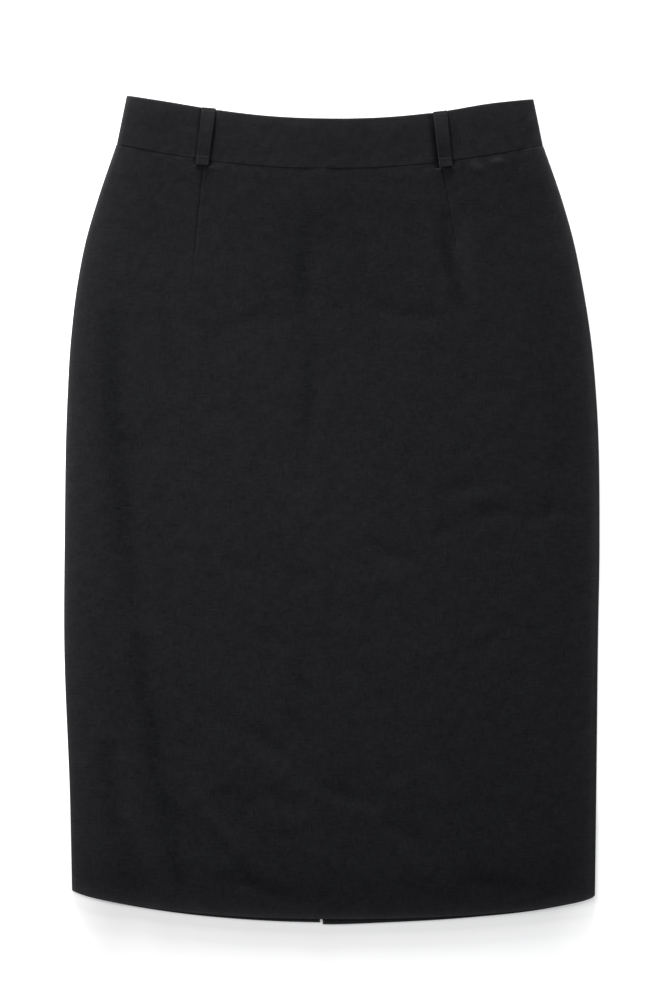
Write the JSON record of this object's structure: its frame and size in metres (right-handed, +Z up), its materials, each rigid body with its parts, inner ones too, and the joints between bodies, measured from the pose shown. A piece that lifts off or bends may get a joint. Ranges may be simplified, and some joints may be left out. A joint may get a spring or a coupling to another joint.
{
  "type": "pencil skirt",
  "caption": "Black knee-length pencil skirt with a contoured waistband, belt loops and a back zip, laid flat with its front up.",
  "frame": {"origin": "on the surface that the skirt lies on, in the middle of its footprint", "axes": "+Y up the skirt to the waistband, +Z up from the surface through the back to the front, -X towards the wearer's right"},
  "size_m": [0.4501, 0.6954, 0.0075],
  "materials": {
    "suiting": "matt plain-weave suiting with a faint sheen",
    "zip_tape": "woven zip tape",
    "zip_coil": "satin nylon coil",
    "slider_metal": "black lacquered metal"
  },
  "bodies": {
    "skirt": {"skirt_front": "suiting", "skirt_back_right": "suiting", "skirt_back_left": "suiting", "waistband_front": "suiting", "waistband_back_right": "suiting", "waistband_back_left": "suiting", "belt_loop_front_right": "suiting", "belt_loop_front_left": "suiting", "belt_loop_back_right": "suiting", "belt_loop_back_left": "suiting", "zip_tape_right": "zip_tape", "zip_tape_left": "zip_tape", "zip_coil": "zip_coil", "zip_slider": "slider_metal"},
    "pull_tab": {"zip_pull_tab": "slider_metal"}
  },
  "joints": [
    {"name": "pull_tab_hinge", "type": "hinge", "parent": "skirt", "child": "pull_tab", "pos_m": [-0.009, 0.324, 0.00095], "axis": [1, 0, 0], "range_deg": [0, 170]}
  ]
}
